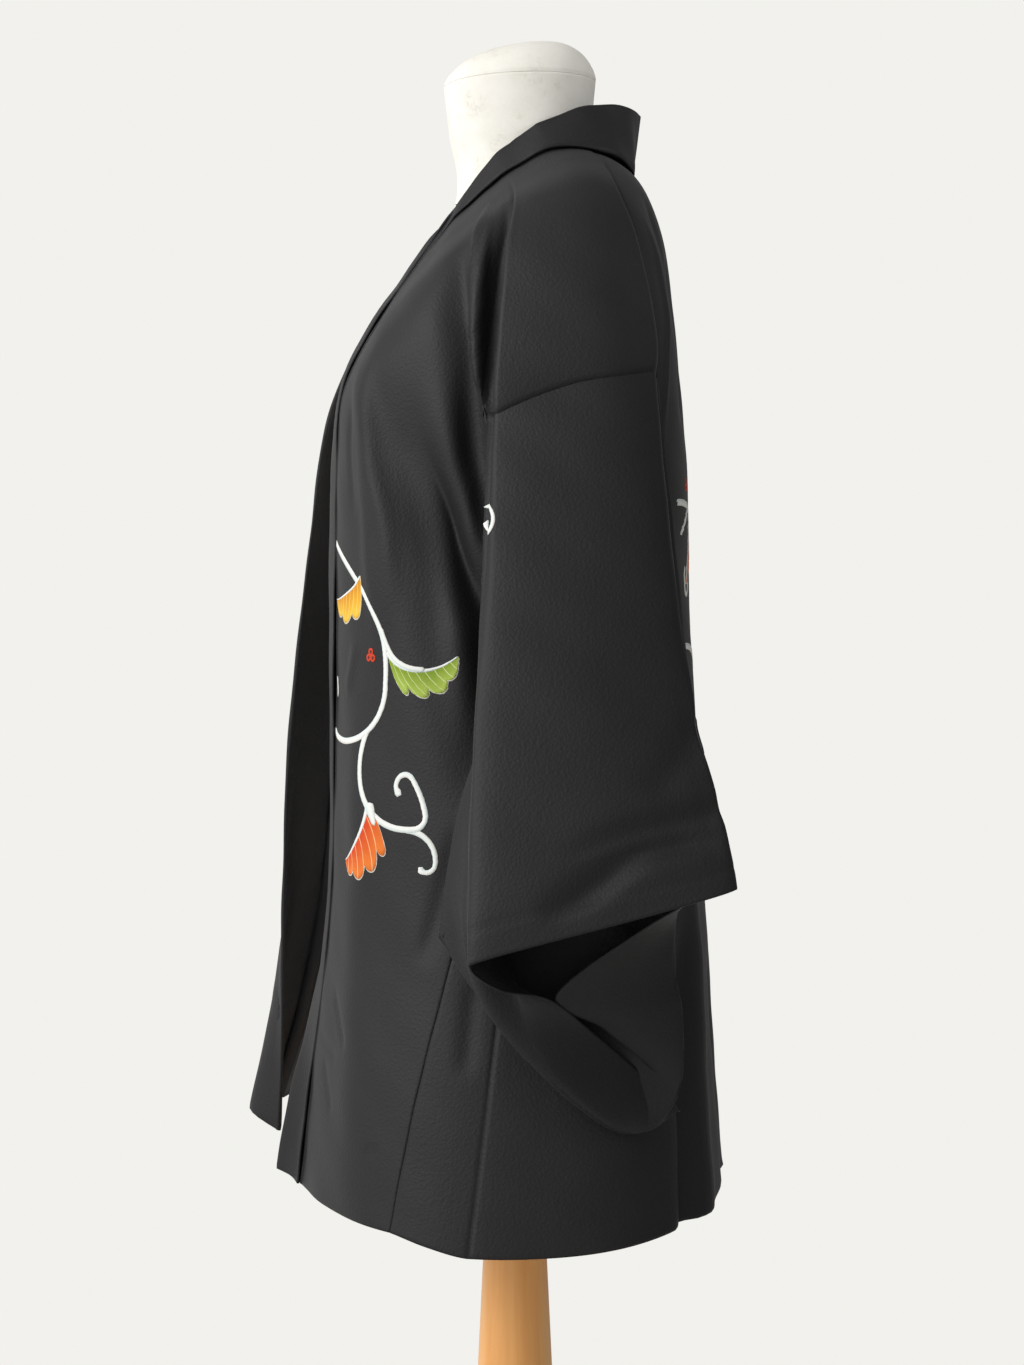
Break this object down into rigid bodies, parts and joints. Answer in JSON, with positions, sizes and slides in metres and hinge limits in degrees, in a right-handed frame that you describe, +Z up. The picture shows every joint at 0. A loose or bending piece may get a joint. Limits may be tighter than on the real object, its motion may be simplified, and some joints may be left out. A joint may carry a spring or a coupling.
{
  "type": "kimono jacket (haori) on a limbless dress form",
  "caption": "Open-front kimono jacket with a folded band collar and wide square sleeves, worn by a limbless canvas dress form on a turned wooden pole and a round base.",
  "frame": {"origin": "middle of the underside of the stand's round base, on the floor", "axes": "+Z up; -Y the way the wearer faces; +X the wearer's left"},
  "size_m": [0.6022, 0.393, 1.454],
  "materials": {
    "crepe": "matt pebbled silk crepe, black",
    "canvas": "off-white stretched canvas",
    "beech": "turned, clear satin varnish"
  },
  "bodies": {
    "root": {"body_left": "crepe", "body_right": "crepe", "gusset_left": "crepe", "gusset_right": "crepe", "sleeve_left": "crepe", "sleeve_right": "crepe", "collar": "crepe", "form_torso": "canvas", "form_cap": "canvas", "form_plate": "beech", "stand_pole": "beech", "stand_base": "beech"}
  },
  "joints": []
}
